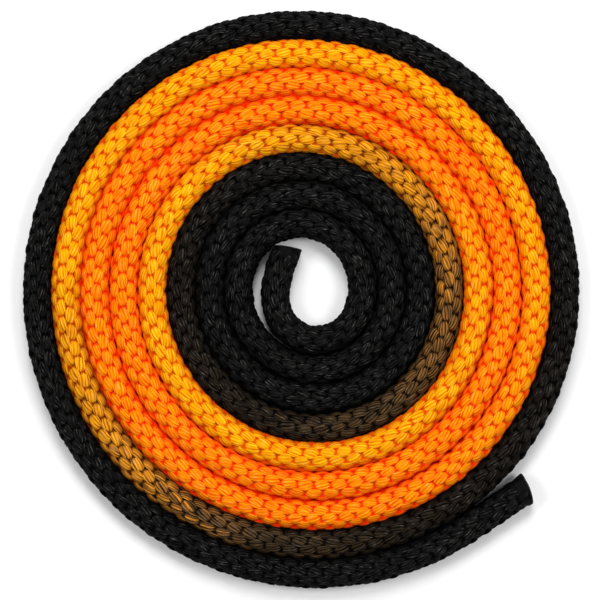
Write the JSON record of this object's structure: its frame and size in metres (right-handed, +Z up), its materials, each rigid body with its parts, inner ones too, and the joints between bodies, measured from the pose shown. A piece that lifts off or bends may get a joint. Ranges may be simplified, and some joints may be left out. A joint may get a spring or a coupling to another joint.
{
  "type": "braided gymnastics rope",
  "caption": "Soft braided rope with melted ends, wound in a flat spiral coil one layer thick, both ends free; swung, looped and jumped by hand.",
  "frame": {"origin": "middle of the whole rope's footprint, on the surface it lies on", "axes": "+Z up, square to the flat coil; the outer free end lies at +X and -Y, and the rope winds outwards counter-clockwise seen from +Z"},
  "size_m": [0.1933, 0.2006, 0.01],
  "materials": {
    "orange_braid": "soft braided synthetic yarn, bright orange in the middle of the rope, fading to black towards both ends",
    "black_braid": "soft braided synthetic yarn, black",
    "core_yarn": "loose undyed yarn, inside the sheath",
    "melted_end": "fibres melted to a dull, slightly lumpy plug"
  },
  "bodies": {
    "root": {"sheath_coil": "orange_braid", "core_coil": "core_yarn", "sheath_inner_tail": "black_braid", "core_inner_tail": "core_yarn", "inner_end_plug": "melted_end", "sheath_outer_tail": "black_braid", "core_outer_tail": "core_yarn", "outer_end_plug": "melted_end"}
  },
  "joints": []
}
